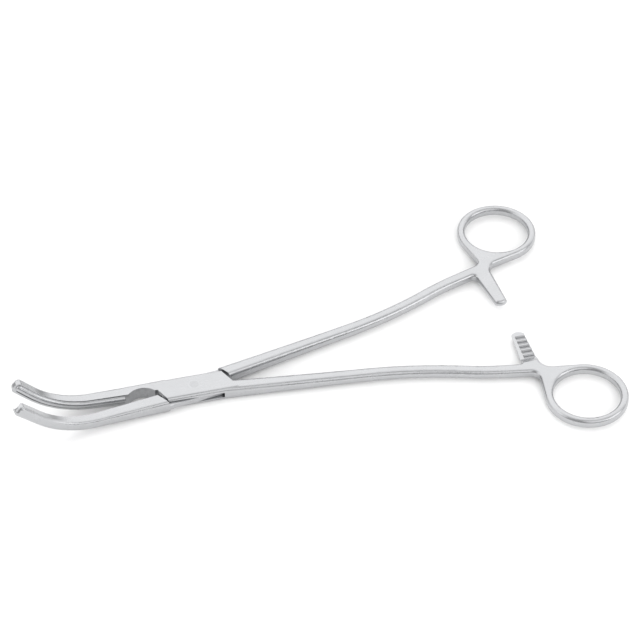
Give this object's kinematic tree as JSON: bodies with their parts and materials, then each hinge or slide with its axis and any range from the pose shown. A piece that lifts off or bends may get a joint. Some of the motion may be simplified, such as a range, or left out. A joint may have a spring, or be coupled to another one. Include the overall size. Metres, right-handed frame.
{
  "type": "z-type surgical forceps",
  "caption": "Long ring-handled box-lock clamp with upward-curved, lengthwise-ribbed jaws and a saw-tooth ratchet between the handles, set a little open.",
  "frame": {"origin": "on the pivot axis of the box lock, in the plane of the lock's underside", "axes": "+X points to the finger rings along the line midway between the two halves, the jaws point to -X and curve up to +Z, +Y points to the ring of the half whose plate passes through the box"},
  "size_m": [0.2391, 0.136, 0.0234],
  "materials": {
    "box_half_steel": "satin polished stainless steel",
    "through_half_steel": "satin polished stainless steel",
    "pin_steel": "ground flush and satin polished"
  },
  "bodies": {
    "box_body": {"box_half": "box_half_steel", "pivot_pin": "pin_steel"},
    "through_body": {"through_half": "through_half_steel"}
  },
  "joints": [
    {"name": "box_lock_pivot", "type": "hinge", "parent": "box_body", "child": "through_body", "pos_m": [0, 0, 0.003], "axis": [0, 0, 1], "range_deg": [-10, 25]}
  ]
}
